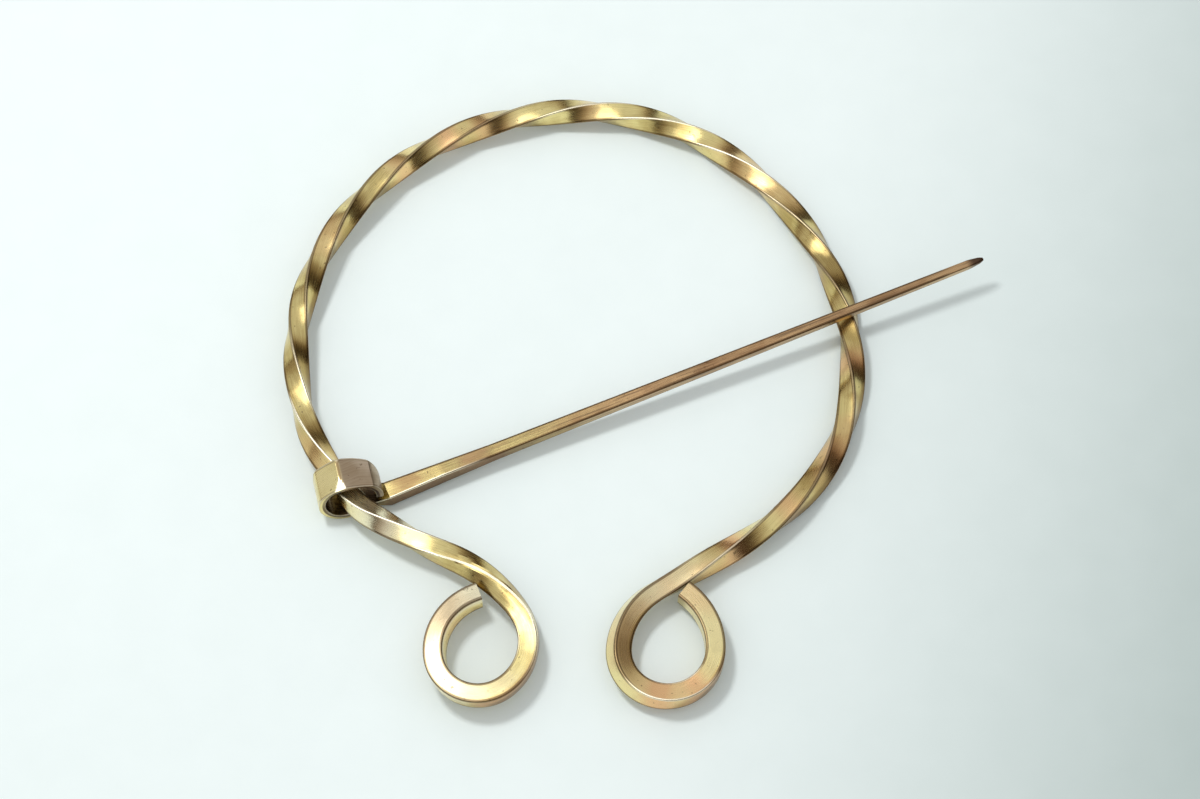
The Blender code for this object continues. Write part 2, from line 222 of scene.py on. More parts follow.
# Hoop: one square brass wire, twisted by hand, bent into an open ring and curled into an eye at each
# end. Its line and twist are those of the frame's solid. Its arrises are rounded a little by handling,
# and the uppermost one is hammered flat where the left end was bent outwards.
WIRE_SIDE = 1.60 * MM
ARRIS_RADIUS = 0.13 * MM
ARRIS_STEPS = 6
FACE_STEPS = 5
CREASE = math.radians(17.0)
HALVINGS = 1
FIRST_ARRIS_SIDE = (1.0, 1.0, 1.0)
NECK_FLAT_AT = (149.0, 150.0, 151.2, 155.0, 157.5, 159.5)
NECK_FLAT_DEPTH = (0.0, 0.11, 0.23, 0.23, 0.15, 0.0)
# Worn arrises with a painted highlight: a bright line on the upward-facing arrises, its share given station
# by station along the wire, in mm.
RUBBED_HIGHLIGHT_AT = (
    0.0, 7.5, 9.0, 13.5, 15.5, 26.0, 30.0, 36.0, 62.0, 68.0, 74.0, 90.0, 97.0, 124.0, 131.0, 159.0, 164.0,
)
RUBBED_HIGHLIGHT_SHARE = (
    0.0, 0.0, 0.85, 0.85, 0.0, 0.0, 0.6, 0.05, 0.1, 0.3, 0.85, 0.75, 0.05, 0.1, 0.95, 0.95, 0.0,
)
# Tone along the wire, in mm: browner where positive, partly tarnish and partly painted shade; whitened as a
# painted highlight where most negative, at the right eye, the left neck and the left eye.
TONE_SHADE_HIGHLIGHT_AT = (
    0.0, 9.0, 15.0, 18.0, 24.0, 27.0, 33.0, 42.0, 54.0, 62.0, 68.0, 90.0,
    98.0, 103.0, 108.0, 116.0, 127.0, 136.0, 144.0, 149.0, 156.0, 159.0, 164.0, 178.0,
)
TONE_SHADE_HIGHLIGHT_SHARE = (
    -0.42, -0.35, -0.35, -0.38, -0.5, -0.45, -0.15, 0.6, 0.3, 0.85, 0.15, 0.05,
    -0.18, -0.32, -0.12, 0.1, 0.6, 0.0, -0.7, 0.0, 0.5, 0.1, -0.4, -0.6,
)
BLUSH_SPOTS = (
    (9.5, 0.6), (12.5, 0.9), (31.5, 1.0), (37.0, 0.6), (43.0, 0.6),
    (52.0, 0.9), (88.0, 0.4), (97.5, 0.6), (101.0, 0.9), (106.0, 0.6),
)
BLUSH_LENGTH = 1.1 * MM
UP = (0.0, 0.0, 1.0)
UPPER_ARRISES = (0.50, 0.80)
# Painted shade: surfaces turned to the right and downwards, away from the lamp, are toned browner.
PAINTED_SHADE_SIDE = (0.75, -0.22, -0.62)
PAINTED_SHADE_TURN = (0.15, 0.85)
PAINTED_SHADE_TONE = 0.8
# Painted shade: on both eyes the walls facing right and towards the near side are blushed orange and toned
# browner.
EYE_WALL_SHADE_SIDE = (0.75, -0.66, 0.0)
EYE_WALL_SHADE_TURN = (0.45, 0.80)
EYE_WALL_SHADE_AT = (0.0, 2.0, 4.0, 9.0, 11.0, 157.0, 161.0, 168.0, 171.0)
EYE_WALL_SHADE_SHARE = (0.0, 0.0, 0.95, 0.95, 0.0, 0.0, 0.95, 0.95, 0.0)
EYE_WALL_SHADE_TONE = 0.90
END_REACH = 0.35 * MM


def merged(node):
    """A copy of a solid's mesh whose loose triangles share their corners."""
    shape = bmesh.new()
    shape.from_mesh(node.data)
    bmesh.ops.remove_doubles(shape, verts=shape.verts, dist=0.001 * MM)
    return shape


def rings_from(first):
    """Rings of corners along a lofted solid, in order, from the corners of its first end."""
    seen = set(first)
    rings = [list(first)]
    while rings[-1]:
        reached = []
        for corner in rings[-1]:
            for edge in corner.link_edges:
                other = edge.other_vert(corner)
                if other not in seen:
                    seen.add(other)
                    reached.append(other)
        rings.append(reached)
    return [np.array([corner.co for corner in ring]) for ring in rings[:-1]]


def in_order(rings):
    """The same rings, each turned and started so that its corners follow those of the ring before."""
    ordered = []
    for k, ring in enumerate(rings):
        near = rings[max(0, k - 1)].mean(axis=0)
        far = rings[min(len(rings) - 1, k + 1)].mean(axis=0)
        along = Vector(far - near).normalized()
        if ordered:
            side = (side - along * side.dot(along)).normalized()
        else:
            side = along.orthogonal().normalized()
        other = along.cross(side)
        spokes = ring - ring.mean(axis=0)
        angles = np.arctan2(spokes @ np.array(other), spokes @ np.array(side))
        ring = ring[np.argsort(angles)]
        turns = [np.roll(ring, shift, axis=0) for shift in range(len(ring))]
        if ordered:
            ring = min(turns, key=lambda turned: np.linalg.norm(turned - ordered[-1], axis=1).sum())
        else:
            ring = max(turns, key=lambda turned: (turned[0] + turned[1]) @ np.array(FIRST_ARRIS_SIDE))
        ordered.append(ring)
    return np.array(ordered)


def halved(points):
    """A run of points with one more between each two, on a smooth curve through them."""
    before = np.vstack((2.0 * points[:1] - points[1:2], points[:-2]))
    after = np.vstack((points[2:], 2.0 * points[-1:] - points[-2:-1]))
    middles = (9.0 * (points[:-1] + points[1:]) - before - after) / 16.0
    finer = np.empty((2 * len(points) - 1, 3))
    finer[0::2] = points
    finer[1::2] = middles
    return finer


def reaching(points, share):
    """A run of points with one more past each end, a share of a step on, curving as the last three do."""
    bend = share * (share + 1.0) / 2.0
    ends = []
    for end, near, far in ((points[0], points[1], points[2]), (points[-1], points[-2], points[-3])):
        ends.append(end + share * (end - near) + bend * (end - 2.0 * near + far))
    return np.vstack((ends[:1], points, ends[1:]))


def rounded_section(width, thick, radius, arc_steps, face_steps):
    """Points round a slab's section with rounded corners, and how far each is on a corner's arc."""
    points = []
    on_arris = []
    for corner in range(4):
        turn = math.radians(90.0 * corner)
        side_x = (1.0, -1.0, -1.0, 1.0)[corner]
        side_y = (1.0, 1.0, -1.0, -1.0)[corner]
        centre_x = side_x * (width / 2.0 - radius)
        centre_y = side_y * (thick / 2.0 - radius)
        for step in range(arc_steps + 1):
            angle = turn + math.radians(90.0) * step / arc_steps
            points.append((centre_x + radius * math.cos(angle), centre_y + radius * math.sin(angle)))
            on_arris.append(1.0)
        next_x = (-1.0, -1.0, 1.0, 1.0)[corner] * (width / 2.0 - radius)
        next_y = (1.0, -1.0, -1.0, 1.0)[corner] * (thick / 2.0 - radius)
        start = points[-1]
        stop = (
            next_x + radius * math.cos(turn + math.radians(90.0)),
            next_y + radius * math.sin(turn + math.radians(90.0)),
        )
        for step in range(1, face_steps):
            share = step / face_steps
            points.append((start[0] + (stop[0] - start[0]) * share, start[1] + (stop[1] - start[1]) * share))
            on_arris.append(0.0)
    return np.array(points), np.array(on_arris)


def swept(name, rings, marks):
    """A closed piece through rings of points, with its length and girth as a UV map in metres.

    Each of the marks is a name and one value for every point, such as how near an arris it is.
    """
    shape = bmesh.new()
    count = rings.shape[1]
    loops = [[shape.verts.new(point) for point in ring] for ring in rings]
    middles = rings.mean(axis=1)
    lengths = np.concatenate(([0.0], np.cumsum(np.linalg.norm(np.diff(middles, axis=0), axis=1))))
    girths = np.linalg.norm(rings - np.roll(rings, 1, axis=1), axis=2)
    girths = np.hstack((np.cumsum(girths, axis=1) - girths[:, :1], girths.sum(axis=1, keepdims=True)))
    surface = shape.loops.layers.uv.new("surface")
    for k in range(len(loops) - 1):
        for m in range(count):
            n = (m + 1) % count
            face = shape.faces.new((loops[k][m], loops[k][n], loops[k + 1][n], loops[k + 1][m]))
            corners = ((k, m), (k, m + 1), (k + 1, m + 1), (k + 1, m))
            for loop, (row, column) in zip(face.loops, corners):
                loop[surface].uv = (lengths[row], girths[row][column])
            face.smooth = True
    for ring, place, flip in ((loops[0], 0, True), (loops[-1], -1, False)):
        face = shape.faces.new(ring[::-1] if flip else ring)
        side = rings[place][0] - middles[place]
        side = side / np.linalg.norm(side)
        along = middles[place] - middles[1 if flip else -2]
        other = np.cross(along / np.linalg.norm(along), side)
        for loop in face.loops:
            spoke = np.array(loop.vert.co) - middles[place]
            loop[surface].uv = (lengths[place] + spoke @ side, spoke @ other)
    bmesh.ops.recalc_face_normals(shape, faces=shape.faces)
    for edge in shape.edges:
        edge.smooth = edge.calc_face_angle(0.0) < CREASE
    data = bpy.data.meshes.new(name)
    shape.to_mesh(data)
    shape.free()
    for mark_name, values in marks.items():
        mark = data.attributes.new(mark_name, "FLOAT", "POINT")
        mark.data.foreach_set("value", values.ravel())
    piece = bpy.data.objects.new(name, data)
    bpy.context.collection.objects.link(piece)
    return piece


def beaten(rings, side, depths):
    """Rings with a flat hammered on one side, to its own depth on each ring."""
    side = np.array(side)
    heights = rings @ side
    limits = heights.max(axis=1, keepdims=True) - np.asarray(depths)[:, None]
    return rings - np.maximum(0.0, heights - limits)[..., None] * side


def facing(rings, side, low, high):
    """How much each point of the rings faces one side, from 0 to 1 between two limits."""
    spokes = rings - rings.mean(axis=1, keepdims=True)
    spokes = spokes / np.linalg.norm(spokes, axis=2, keepdims=True)
    share = np.clip((spokes @ np.array(side) - low) / (high - low), 0.0, 1.0)
    return share * share * (3.0 - 2.0 * share)


wire_shape = merged(frame["nodes"]["hoop"])
end_edges = [edge for edge in wire_shape.edges if edge.calc_face_angle(0.0) > math.radians(80.0)]
end_corners = [max((corner for edge in end_edges for corner in edge.verts), key=lambda corner: corner.co.x)]
for corner in end_corners:
    for edge in end_edges:
        if corner in edge.verts and edge.other_vert(corner) not in end_corners:
            end_corners.append(edge.other_vert(corner))
wire_rings = in_order(rings_from(end_corners))
wire_shape.free()
wire_line = wire_rings.mean(axis=1)
first_arris = (wire_rings[:, 0] + wire_rings[:, 1]) / 2.0 - wire_line
second_arris = (wire_rings[:, 2] + wire_rings[:, 3]) / 2.0 - wire_line
for _ in range(HALVINGS):
    wire_line = halved(wire_line)
    first_arris = halved(first_arris)
    second_arris = halved(second_arris)
end_share = END_REACH / np.linalg.norm(wire_line[0] - wire_line[1])
wire_line = reaching(wire_line, end_share)
first_arris = reaching(first_arris, end_share)
second_arris = reaching(second_arris, end_share)
first_arris /= np.linalg.norm(first_arris, axis=1, keepdims=True)
second_arris /= np.linalg.norm(second_arris, axis=1, keepdims=True)
face_out = (first_arris - second_arris) / math.sqrt(2.0)
face_up = (first_arris + second_arris) / math.sqrt(2.0)
section, on_arris = rounded_section(WIRE_SIDE, WIRE_SIDE, ARRIS_RADIUS, ARRIS_STEPS, FACE_STEPS)
hoop_rings = (
    wire_line[:, None, :]
    + section[None, :, :1] * face_out[:, None, :]
    + section[None, :, 1:] * face_up[:, None, :]
)
wire_lengths = np.concatenate(([0.0], np.cumsum(np.linalg.norm(np.diff(wire_line, axis=0), axis=1))))
neck_depths = np.interp(wire_lengths, np.array(NECK_FLAT_AT) * MM, np.array(NECK_FLAT_DEPTH) * MM)
hoop_rings = beaten(hoop_rings, UP, neck_depths)
hoop_arris = np.tile(on_arris, (len(hoop_rings), 1))
# Painted highlight, partly wear: the bright arris line, only on arrises that face up.
hoop_rubbed_and_highlight = hoop_arris * np.interp(wire_lengths, np.array(RUBBED_HIGHLIGHT_AT) * MM, RUBBED_HIGHLIGHT_SHARE)[:, None]
hoop_rubbed_and_highlight = hoop_rubbed_and_highlight * facing(hoop_rings, UP, *UPPER_ARRISES)
# Tone along the wire, with painted shade and painted highlight in it.
hoop_tone_shade_highlight = np.interp(wire_lengths, np.array(TONE_SHADE_HIGHLIGHT_AT) * MM, TONE_SHADE_HIGHLIGHT_SHARE)[:, None]
# Painted shade on the sides turned away from the lamp.
hoop_tone_shade_highlight = hoop_tone_shade_highlight + PAINTED_SHADE_TONE * facing(hoop_rings, PAINTED_SHADE_SIDE, *PAINTED_SHADE_TURN)
# Painted shade on the eyes' right and near walls, carried in one mark with the copper blush spots.
eye_wall_shade = np.interp(wire_lengths, np.array(EYE_WALL_SHADE_AT) * MM, EYE_WALL_SHADE_SHARE)[:, None]
hoop_blush_and_shade = eye_wall_shade * facing(hoop_rings, EYE_WALL_SHADE_SIDE, *EYE_WALL_SHADE_TURN)
hoop_tone_shade_highlight = hoop_tone_shade_highlight + EYE_WALL_SHADE_TONE * hoop_blush_and_shade
for station, strength in BLUSH_SPOTS:
    hoop_blush_and_shade += strength * np.exp(-((wire_lengths - station * MM) / BLUSH_LENGTH) ** 2)[:, None]
hoop_marks = {"arris": hoop_arris, "rubbed_and_highlight": hoop_rubbed_and_highlight, "toned_and_painted_light": hoop_tone_shade_highlight, "blush_and_shade": hoop_blush_and_shade}
twisted_hoop = swept("twisted_hoop", hoop_rings, hoop_marks)

# Brass colours: the toned one also serves as painted shade, the worn one as painted highlight, the blush one
# as painted shade on the eyes' walls, and the dirt one as painted shade.
BRASS_BRIGHT = (0.91, 0.76, 0.34)
BRASS_TONED_AND_SHADED = (0.50, 0.36, 0.13)
BRASS_BLUSH_AND_SHADE = (0.86, 0.52, 0.26)
BRASS_WORN_AND_HIGHLIGHT = (0.98, 0.90, 0.70)
BRASS_DIRT_AND_SHADE = (0.12, 0.065, 0.03)
BLOTCH_SCALE = 330.0
BLUSH_SCALE = 150.0
WAVE_SCALE = 480.0
DRAW_MARKS = (350.0, 9000.0, 1.0)
SCRATCH_MARKS = (900.0, 24000.0, 1.0)
SPECK_SCALE = 3200.0


def spread(nodes, links, value, low, high, to_low, to_high):
    """A value stretched from one range to another, smoothly and without going past its ends."""
    node = nodes.new("ShaderNodeMapRange")
    node.interpolation_type = "SMOOTHSTEP"
    node.inputs["From Min"].default_value = low
    node.inputs["From Max"].default_value = high
    node.inputs["To Min"].default_value = to_low
    node.inputs["To Max"].default_value = to_high
    links.new(value, node.inputs["Value"])
    return node.outputs["Result"]


def blend_colour(nodes, links, factor, first, second):
    """One colour turning into another as a factor goes from 0 to 1."""
    node = nodes.new("ShaderNodeMix")
    node.data_type = "RGBA"
    links.new(factor, node.inputs["Factor"])
    for colour, socket in ((first, node.inputs["A"]), (second, node.inputs["B"])):
        if isinstance(colour, tuple):
            socket.default_value = (*colour, 1.0)
        else:
            links.new(colour, socket)
    return node.outputs["Result"]


def reckon(nodes, links, operation, first, second):
    """The result of one sum on two values, each a socket or a number."""
    node = nodes.new("ShaderNodeMath")
    node.operation = operation
    for value, socket in ((first, node.inputs[0]), (second, node.inputs[1])):
        if isinstance(value, float):
            socket.default_value = value
        else:
            links.new(value, socket)
    return node.outputs["Value"]


def grain(nodes, links, place, scale, detail):
    """Noise of one scale at a place; a scale of three numbers draws it out along the surface."""
    node = nodes.new("ShaderNodeTexNoise")
    node.inputs["Detail"].default_value = detail
    if isinstance(scale, tuple):
        mapping = nodes.new("ShaderNodeMapping")
        mapping.inputs["Scale"].default_value = scale
        links.new(place, mapping.inputs["Vector"])
        place = mapping.outputs["Vector"]
        scale = 1.0
    node.inputs["Scale"].default_value = scale
    links.new(place, node.inputs["Vector"])
    return node.outputs["Fac"]


# Worn brass with painted light: bright where it is rubbed, browner in cloudy patches and along its draw
# marks, with a few dark specks, a bright line on each arris that is part wear and part painted highlight,
# and a darker line of painted shade beside it. Painted shade browns and darkens it, and painted highlight
# whitens it, where its marks say so.
brass_wear_and_painted_light = bpy.data.node_groups.new("brass_wear_and_painted_light", "ShaderNodeTree")
for socket_name in ("Bright", "Toned_and_shaded", "Blush_and_shade", "Worn_and_highlight", "Dirt_and_shade"):
    brass_wear_and_painted_light.interface.new_socket(socket_name, in_out="INPUT", socket_type="NodeSocketColor")
for socket_name in ("Tone", "Gloss"):
    brass_wear_and_painted_light.interface.new_socket(socket_name, in_out="INPUT", socket_type="NodeSocketFloat")
brass_wear_and_painted_light.interface.new_socket("Color", in_out="OUTPUT", socket_type="NodeSocketColor")
brass_wear_and_painted_light.interface.new_socket("Roughness", in_out="OUTPUT", socket_type="NodeSocketFloat")
brass_wear_and_painted_light.interface.new_socket("Height", in_out="OUTPUT", socket_type="NodeSocketFloat")
wear_nodes = brass_wear_and_painted_light.nodes
wear_links = brass_wear_and_painted_light.links
wear_in = wear_nodes.new("NodeGroupInput")
wear_out = wear_nodes.new("NodeGroupOutput")
wear_place = wear_nodes.new("ShaderNodeTexCoord")
wear_surface = wear_nodes.new("ShaderNodeUVMap")
wear_surface.uv_map = "surface"
wear_arris = wear_nodes.new("ShaderNodeAttribute")
wear_arris.attribute_name = "arris"
wear_rubbed_and_highlight = wear_nodes.new("ShaderNodeAttribute")
wear_rubbed_and_highlight.attribute_name = "rubbed_and_highlight"
wear_tone_shade_highlight = wear_nodes.new("ShaderNodeAttribute")
wear_tone_shade_highlight.attribute_name = "toned_and_painted_light"
wear_blush_and_shade = wear_nodes.new("ShaderNodeAttribute")
wear_blush_and_shade.attribute_name = "blush_and_shade"
clouds = grain(wear_nodes, wear_links, wear_place.outputs["Object"], BLOTCH_SCALE, 3.0)
waves = grain(wear_nodes, wear_links, wear_place.outputs["Object"], WAVE_SCALE, 1.0)
draw_marks = grain(wear_nodes, wear_links, wear_surface.outputs["UV"], DRAW_MARKS, 2.0)
scratches = grain(wear_nodes, wear_links, wear_surface.outputs["UV"], SCRATCH_MARKS, 1.0)
specks = grain(wear_nodes, wear_links, wear_place.outputs["Object"], SPECK_SCALE, 1.0)
cloudy = spread(wear_nodes, wear_links, clouds, 0.36, 0.64, -0.35, 0.35)
marked = spread(wear_nodes, wear_links, draw_marks, 0.30, 0.70, -0.16, 0.16)
toned_and_painted_light = reckon(wear_nodes, wear_links, "ADD", wear_in.outputs["Tone"], cloudy)
toned_and_painted_light = reckon(wear_nodes, wear_links, "ADD", toned_and_painted_light, marked)
toned_and_painted_light = reckon(wear_nodes, wear_links, "ADD", toned_and_painted_light, wear_tone_shade_highlight.outputs["Fac"])
colour = blend_colour(wear_nodes, wear_links, toned_and_painted_light, wear_in.outputs["Bright"], wear_in.outputs["Toned_and_shaded"])
# Painted highlight: strongly negative marks turn the colour towards the pale worn brass.
polished_and_highlight = spread(wear_nodes, wear_links, wear_tone_shade_highlight.outputs["Fac"], -0.7, -0.25, 0.80, 0.0)
colour = blend_colour(wear_nodes, wear_links, polished_and_highlight, colour, wear_in.outputs["Worn_and_highlight"])
blushes = grain(wear_nodes, wear_links, wear_place.outputs["Object"], BLUSH_SCALE, 2.0)
blush_and_shade = spread(wear_nodes, wear_links, blushes, 0.50, 0.66, 0.0, 0.40)
blush_and_shade = reckon(wear_nodes, wear_links, "ADD", blush_and_shade, wear_blush_and_shade.outputs["Fac"])
colour = blend_colour(wear_nodes, wear_links, blush_and_shade, colour, wear_in.outputs["Blush_and_shade"])
# Painted shade: where the marks are high, such as sides turned from the lamp, the colour darkens towards the
# dark brown.
painted_shade = spread(wear_nodes, wear_links, wear_tone_shade_highlight.outputs["Fac"], 0.45, 1.2, 0.0, 0.55)
colour = blend_colour(wear_nodes, wear_links, painted_shade, colour, wear_in.outputs["Dirt_and_shade"])
speckled = spread(wear_nodes, wear_links, specks, 0.70, 0.78, 0.0, 0.6)
colour = blend_colour(wear_nodes, wear_links, speckled, colour, wear_in.outputs["Dirt_and_shade"])
# Painted shade: a dark line beside each arris that is not rubbed bright.
arris_shade_band = spread(wear_nodes, wear_links, wear_arris.outputs["Fac"], 0.45, 0.80, 0.0, 0.75)
arris_shade = reckon(wear_nodes, wear_links, "SUBTRACT", arris_shade_band, wear_rubbed_and_highlight.outputs["Fac"])
colour = blend_colour(wear_nodes, wear_links, arris_shade, colour, wear_in.outputs["Dirt_and_shade"])
# Worn line and painted highlight on the rubbed arrises.
rubbed_and_highlight = spread(wear_nodes, wear_links, wear_arris.outputs["Fac"], 0.88, 1.0, 0.0, 1.0)
rubbed_and_highlight = reckon(wear_nodes, wear_links, "MULTIPLY", rubbed_and_highlight, wear_rubbed_and_highlight.outputs["Fac"])
colour = blend_colour(wear_nodes, wear_links, rubbed_and_highlight, colour, wear_in.outputs["Worn_and_highlight"])
wear_links.new(colour, wear_out.inputs["Color"])
rough = spread(wear_nodes, wear_links, clouds, 0.35, 0.65, -0.04, 0.05)
rough = reckon(wear_nodes, wear_links, "ADD", wear_in.outputs["Gloss"], rough)
scratched = spread(wear_nodes, wear_links, scratches, 0.30, 0.70, -0.05, 0.05)
rough = reckon(wear_nodes, wear_links, "ADD", rough, scratched)
wear_links.new(rough, wear_out.inputs["Roughness"])
mark_height = reckon(wear_nodes, wear_links, "MULTIPLY", draw_marks, 0.09)
scratch_height = reckon(wear_nodes, wear_links, "MULTIPLY", scratches, 0.05)
height = reckon(wear_nodes, wear_links, "ADD", waves, mark_height)
height = reckon(wear_nodes, wear_links, "ADD", height, scratch_height)
wear_links.new(height, wear_out.inputs["Height"])

HOOP_TONE = 0.38
HOOP_GLOSS = 0.24
HOOP_UNEVEN = 0.022 * MM

brass = bpy.data.materials.new("twisted_brass")
brass.use_nodes = True
brass_nodes = brass.node_tree.nodes
brass_links = brass.node_tree.links
brass_shader = brass_nodes["Principled BSDF"]
brass_shader.inputs["Metallic"].default_value = 1.0
brass_wear = brass_nodes.new("ShaderNodeGroup")
brass_wear.node_tree = brass_wear_and_painted_light
brass_wear.inputs["Bright"].default_value = (*BRASS_BRIGHT, 1.0)
brass_wear.inputs["Toned_and_shaded"].default_value = (*BRASS_TONED_AND_SHADED, 1.0)
brass_wear.inputs["Blush_and_shade"].default_value = (*BRASS_BLUSH_AND_SHADE, 1.0)
brass_wear.inputs["Worn_and_highlight"].default_value = (*BRASS_WORN_AND_HIGHLIGHT, 1.0)
brass_wear.inputs["Dirt_and_shade"].default_value = (*BRASS_DIRT_AND_SHADE, 1.0)
brass_wear.inputs["Tone"].default_value = HOOP_TONE
brass_wear.inputs["Gloss"].default_value = HOOP_GLOSS
brass_bump = brass_nodes.new("ShaderNodeBump")
brass_bump.inputs["Strength"].default_value = 1.0
brass_bump.inputs["Distance"].default_value = HOOP_UNEVEN
brass_links.new(brass_wear.outputs["Height"], brass_bump.inputs["Height"])
brass_links.new(brass_wear.outputs["Color"], brass_shader.inputs["Base Color"])
brass_links.new(brass_wear.outputs["Roughness"], brass_shader.inputs["Roughness"])
brass_links.new(brass_bump.outputs["Normal"], brass_shader.inputs["Normal"])
twisted_hoop.data.materials.append(brass)
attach(twisted_hoop, "hoop")
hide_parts("hoop")

# Pin: one forged piece. Its end is hammered to a strip that is rolled loosely round the wire, beaten in
# flats, and ends in a rounded tongue; the shank is square and sharp at its root, then drawn thinner and
# filed to a point. The flame that softened it left it copper brown, but for the root and the fold, whose
# browner colour is painted shade on the side of the head turned from the lamp.
HINGE = Vector(frame["record"]["behaviour"]["joints"][0]["pos_m"])
SHANK_LINE = Vector((0.921733, 0.385252, 0.044606))
PIN_UP = Vector((-0.039177, -0.021937, 0.998992))
BORE = 1.551 * MM
BORE_LEFT = -0.205 * MM
BORE_RIGHT = 0.895 * MM
STRIP_WIDTH = 2.70 * MM
STRIP_THICK = 0.60 * MM
STRIP_START = 2.291 * MM
STRIP_FLARE = 2.2 * MM
HEAD_TURN = math.radians(-9.0)
HEAD_LEAN = math.radians(11.0)
TONGUE_DROP = math.radians(13.5)
TONGUE_END_WIDTH = 0.7 * MM
TONGUE_ROUNDING = 4.2 * MM
TONGUE_SKEW = 0.42
STRIP_EDGE = 0.08 * MM
HEAD_FLATS = ((170.0, 0.08), (118.0, 0.25), (75.0, 0.29))
HEAD_STEP = 0.08 * MM
ROOT_WIDTH = 1.75 * MM
UNDERSIDE_DARKENING = 0.66
ARRIS_FADES_AT = (52.0 * MM, 56.0 * MM)
# Rubbed arrises with a painted highlight: the root's near top arris, fading out along the shank, and the
# head's edges.
RUBBED_HIGHLIGHT_FADES_AT = (7.0 * MM, 12.0 * MM)
HEAD_RUBBED_AND_HIGHLIGHT = 0.35
# Painted light on the shank's near side: painted shade near the root, a paler painted reflection further
# out.
NEAR_SIDE_PAINTED_LIGHT = (0.85, -0.36)
NEAR_SIDE_PALER_AT = (12.0 * MM, 20.0 * MM)
NEAR_SIDE_FROM = 0.80
# Painted shade: a dark band across the strip's outer side at its crease.
CREASE_SHADE_AT = 8.45 * MM
CREASE_SHADE_WIDTH = 0.28 * MM
RIM_FLAT_SIDE = (-0.238, -0.214, 0.948)
RIM_FLAT_DEPTH = 0.13 * MM
# Painted highlight: the rim flat's colour is whitened towards the worn brass.
RIM_PAINTED_HIGHLIGHT = 1.2
SHANK_ASIDE = -1.30 * MM
SHANK_MIDDLE = -1.351 * MM
ROOT_BLEND = 0.9 * MM
SHANK_LENGTH = 56.836 * MM
POINT_LENGTH = 1.3 * MM
PIN_STEP = 0.20 * MM
PIN_FACE_STEPS = 9
POINT_SHOULDER = 0.36 * MM
SHANK_TABLE = (
    (0.0, ROOT_WIDTH / MM, 1.60, 0.10),
    (8.0, 1.25, 1.52, 0.14),
    (12.5, 1.12, 1.14, 0.14),
    (18.0, 1.06, 1.06, 0.14),
    ((SHANK_LENGTH - POINT_LENGTH) / MM, 0.67, 0.67, 0.15),
    ((SHANK_LENGTH - POINT_SHOULDER) / MM, 0.54, 0.54, 0.26),
    (SHANK_LENGTH / MM, 0.26, 0.26, 0.13),
)

shank_across = PIN_UP.cross(SHANK_LINE)
pin_place = Matrix((SHANK_LINE, shank_across, PIN_UP)).transposed()


def arc(centre_x, radius, start, stop):
    """Points on an arc round the bore, in the pin's upright plane."""
    count = max(2, round(abs(stop - start) * radius / HEAD_STEP))
    angles = np.linspace(start, stop, count + 1)[1:]
    return [(centre_x + radius * math.cos(a), radius * math.sin(a)) for a in angles]


def straight(start, stop, height):
    """Points on a level line in the pin's upright plane."""
    count = max(2, round(abs(stop - start) / HEAD_STEP))
    return [(x, height) for x in np.linspace(start, stop, count + 1)[1:]]


strip_line = BORE + STRIP_THICK / 2.0
strip_run = [(STRIP_START, -strip_line)]
strip_run += straight(STRIP_START, BORE_LEFT, -strip_line)
strip_run += arc(BORE_LEFT, strip_line, math.radians(-90.0), math.radians(-270.0))
strip_run += straight(BORE_LEFT, BORE_RIGHT, strip_line)
strip_run += arc(BORE_RIGHT, strip_line, math.radians(90.0), -TONGUE_DROP)
strip_run = np.array(strip_run)
strip_lengths = np.concatenate(([0.0], np.cumsum(np.linalg.norm(np.diff(strip_run, axis=0), axis=1))))
head_turn = Matrix.Rotation(HEAD_TURN, 3, "Z")
pin_sections = []
root = STRIP_START + ROOT_BLEND
distances = list(np.arange(SHANK_LENGTH, root, -PIN_STEP)) + [root]
table = np.array(SHANK_TABLE) * MM
for distance in distances:
    width, height, radius = [float(np.interp(distance, table[:, 0], table[:, k])) for k in (1, 2, 3)]
    section, on_arris = rounded_section(width, height, radius, ARRIS_STEPS, PIN_FACE_STEPS)
    middle = Vector((distance, SHANK_ASIDE, SHANK_MIDDLE))
    pin_sections.append((middle, Vector((0.0, 1.0, 0.0)), Vector((0.0, 0.0, 1.0)), section, on_arris))
for k in range(len(strip_run)):
    flare = min(1.0, strip_lengths[k] / STRIP_FLARE)
    rounded = max(0.0, 1.0 - (strip_lengths[-1] - strip_lengths[k]) / TONGUE_ROUNDING)
    width = ROOT_WIDTH + (STRIP_WIDTH - ROOT_WIDTH) * flare
    narrower = (STRIP_WIDTH - TONGUE_END_WIDTH) * (1.0 - math.sqrt(1.0 - rounded * rounded))
    width -= narrower
    before = strip_run[max(0, k - 1)]
    after = strip_run[min(len(strip_run) - 1, k + 1)]
    along = head_turn @ Vector((after[0] - before[0], 0.0, after[1] - before[1])).normalized()
    across = head_turn @ Vector((0.0, 1.0, 0.0))
    middle = head_turn @ Vector((strip_run[k][0], 0.0, strip_run[k][1]))
    middle += across * (strip_run[k][1] * math.tan(HEAD_LEAN) - narrower * TONGUE_SKEW)
    section, on_arris = rounded_section(width, STRIP_THICK, STRIP_EDGE, ARRIS_STEPS, PIN_FACE_STEPS)
    pin_sections.append((middle, across, across.cross(along), section, on_arris))
pin_rings = []
for middle, across, normal, section, _ in pin_sections:
    ring = [HINGE + pin_place @ (middle + across * x + normal * z) for x, z in section]
    pin_rings.append([list(point) for point in ring])
pin_rings = np.array(pin_rings)
head = pin_rings[len(distances):]
